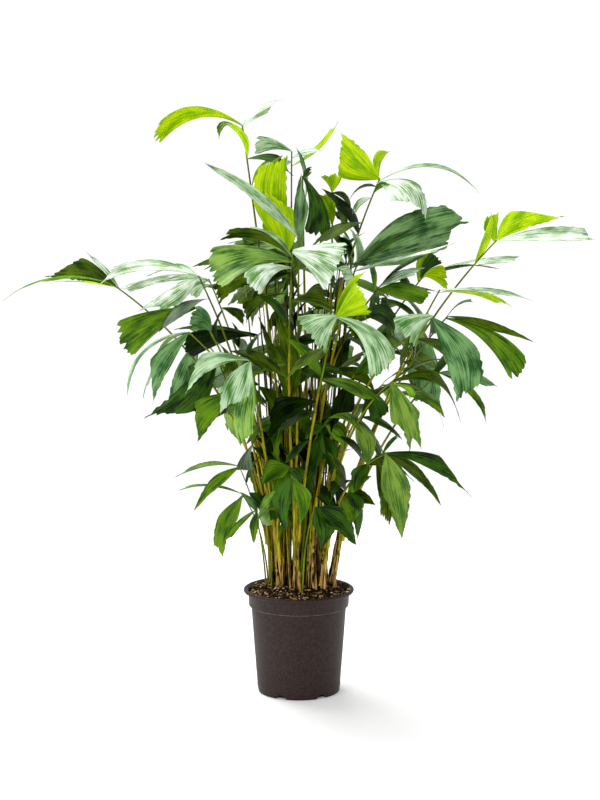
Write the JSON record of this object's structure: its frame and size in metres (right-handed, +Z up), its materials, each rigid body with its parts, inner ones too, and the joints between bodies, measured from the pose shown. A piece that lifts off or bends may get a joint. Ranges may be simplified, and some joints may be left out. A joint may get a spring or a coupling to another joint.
{
  "type": "potted clustering fishtail palm",
  "caption": "Clump of slim canes with long-stalked fronds of ragged, fishtail-shaped leaflets, in a plain tapered nursery pot of soil.",
  "frame": {"origin": "middle of the pot's flat underside", "axes": "+Z up along the pot's axis; the pictured front faces -Y"},
  "size_m": [1.2453, 0.8351, 1.2898],
  "materials": {
    "leaf_lime": "satin leaf, yellow-green where light comes through",
    "leaf_green": "satin leaf, mid green",
    "leaf_glaucous": "waxy leaf with a pale sheen on blue-green",
    "leaf_deep": "satin leaf, dark green",
    "cane": "dull fibrous sheath",
    "soil": "rough, dark, with tan bark chips",
    "pot": "matt, finely grained"
  },
  "bodies": {
    "root": {"back_cane": "cane", "back_front_left_frond": "leaf_green", "back_left_cane": "cane", "back_left_hanging_frond": "leaf_green", "back_left_white_frond": "leaf_green", "back_lime_fan_frond": "leaf_green", "back_mid_front_frond": "leaf_green", "back_right_blade_frond": "leaf_green", "back_right_cane": "cane", "back_right_hanging_frond": "leaf_green", "back_right_low_frond": "leaf_green", "back_upper_left_frond": "leaf_green", "crown_left_frond": "leaf_lime", "crown_mid_frond": "leaf_deep", "crown_right_frond": "leaf_deep", "far_left_frond": "leaf_lime", "far_right_frond": "leaf_lime", "front_cane": "cane", "front_left_frond": "leaf_glaucous", "front_right_cane": "cane", "inner_back_cane": "cane", "inner_left_cane": "cane", "inner_right_cane": "cane", "left_cane": "cane", "left_drooping_frond": "leaf_green", "left_front_cane": "cane", "left_green_frond": "leaf_green", "left_hanging_frond": "leaf_glaucous", "left_lower_frond": "leaf_deep", "left_shaded_frond": "leaf_deep", "left_white_frond": "leaf_glaucous", "lime_fan_frond": "leaf_lime", "long_blade_frond": "leaf_glaucous", "low_left_drooping_frond": "leaf_deep", "low_left_frond": "leaf_deep", "low_left_small_frond": "leaf_deep", "low_right_frond": "leaf_glaucous", "mid_front_frond": "leaf_glaucous", "mid_olive_frond": "leaf_green", "mid_shaded_frond": "leaf_deep", "pot": "pot", "right_behind_frond": "leaf_deep", "right_blade_frond": "leaf_glaucous", "right_cane": "cane", "right_front_cane": "cane", "right_hanging_frond": "leaf_glaucous", "right_inner_frond": "leaf_deep", "right_lime_frond": "leaf_lime", "right_low_frond": "leaf_green", "right_side_frond": "leaf_green", "right_strap_frond": "leaf_glaucous", "soil": "soil", "top_left_frond": "leaf_lime", "top_right_frond": "leaf_lime", "upper_left_frond": "leaf_glaucous", "young_front_frond": "leaf_deep", "young_left_frond": "leaf_deep", "young_low_frond": "leaf_deep", "young_right_frond": "leaf_deep", "young_upper_frond": "leaf_deep"}
  },
  "joints": []
}
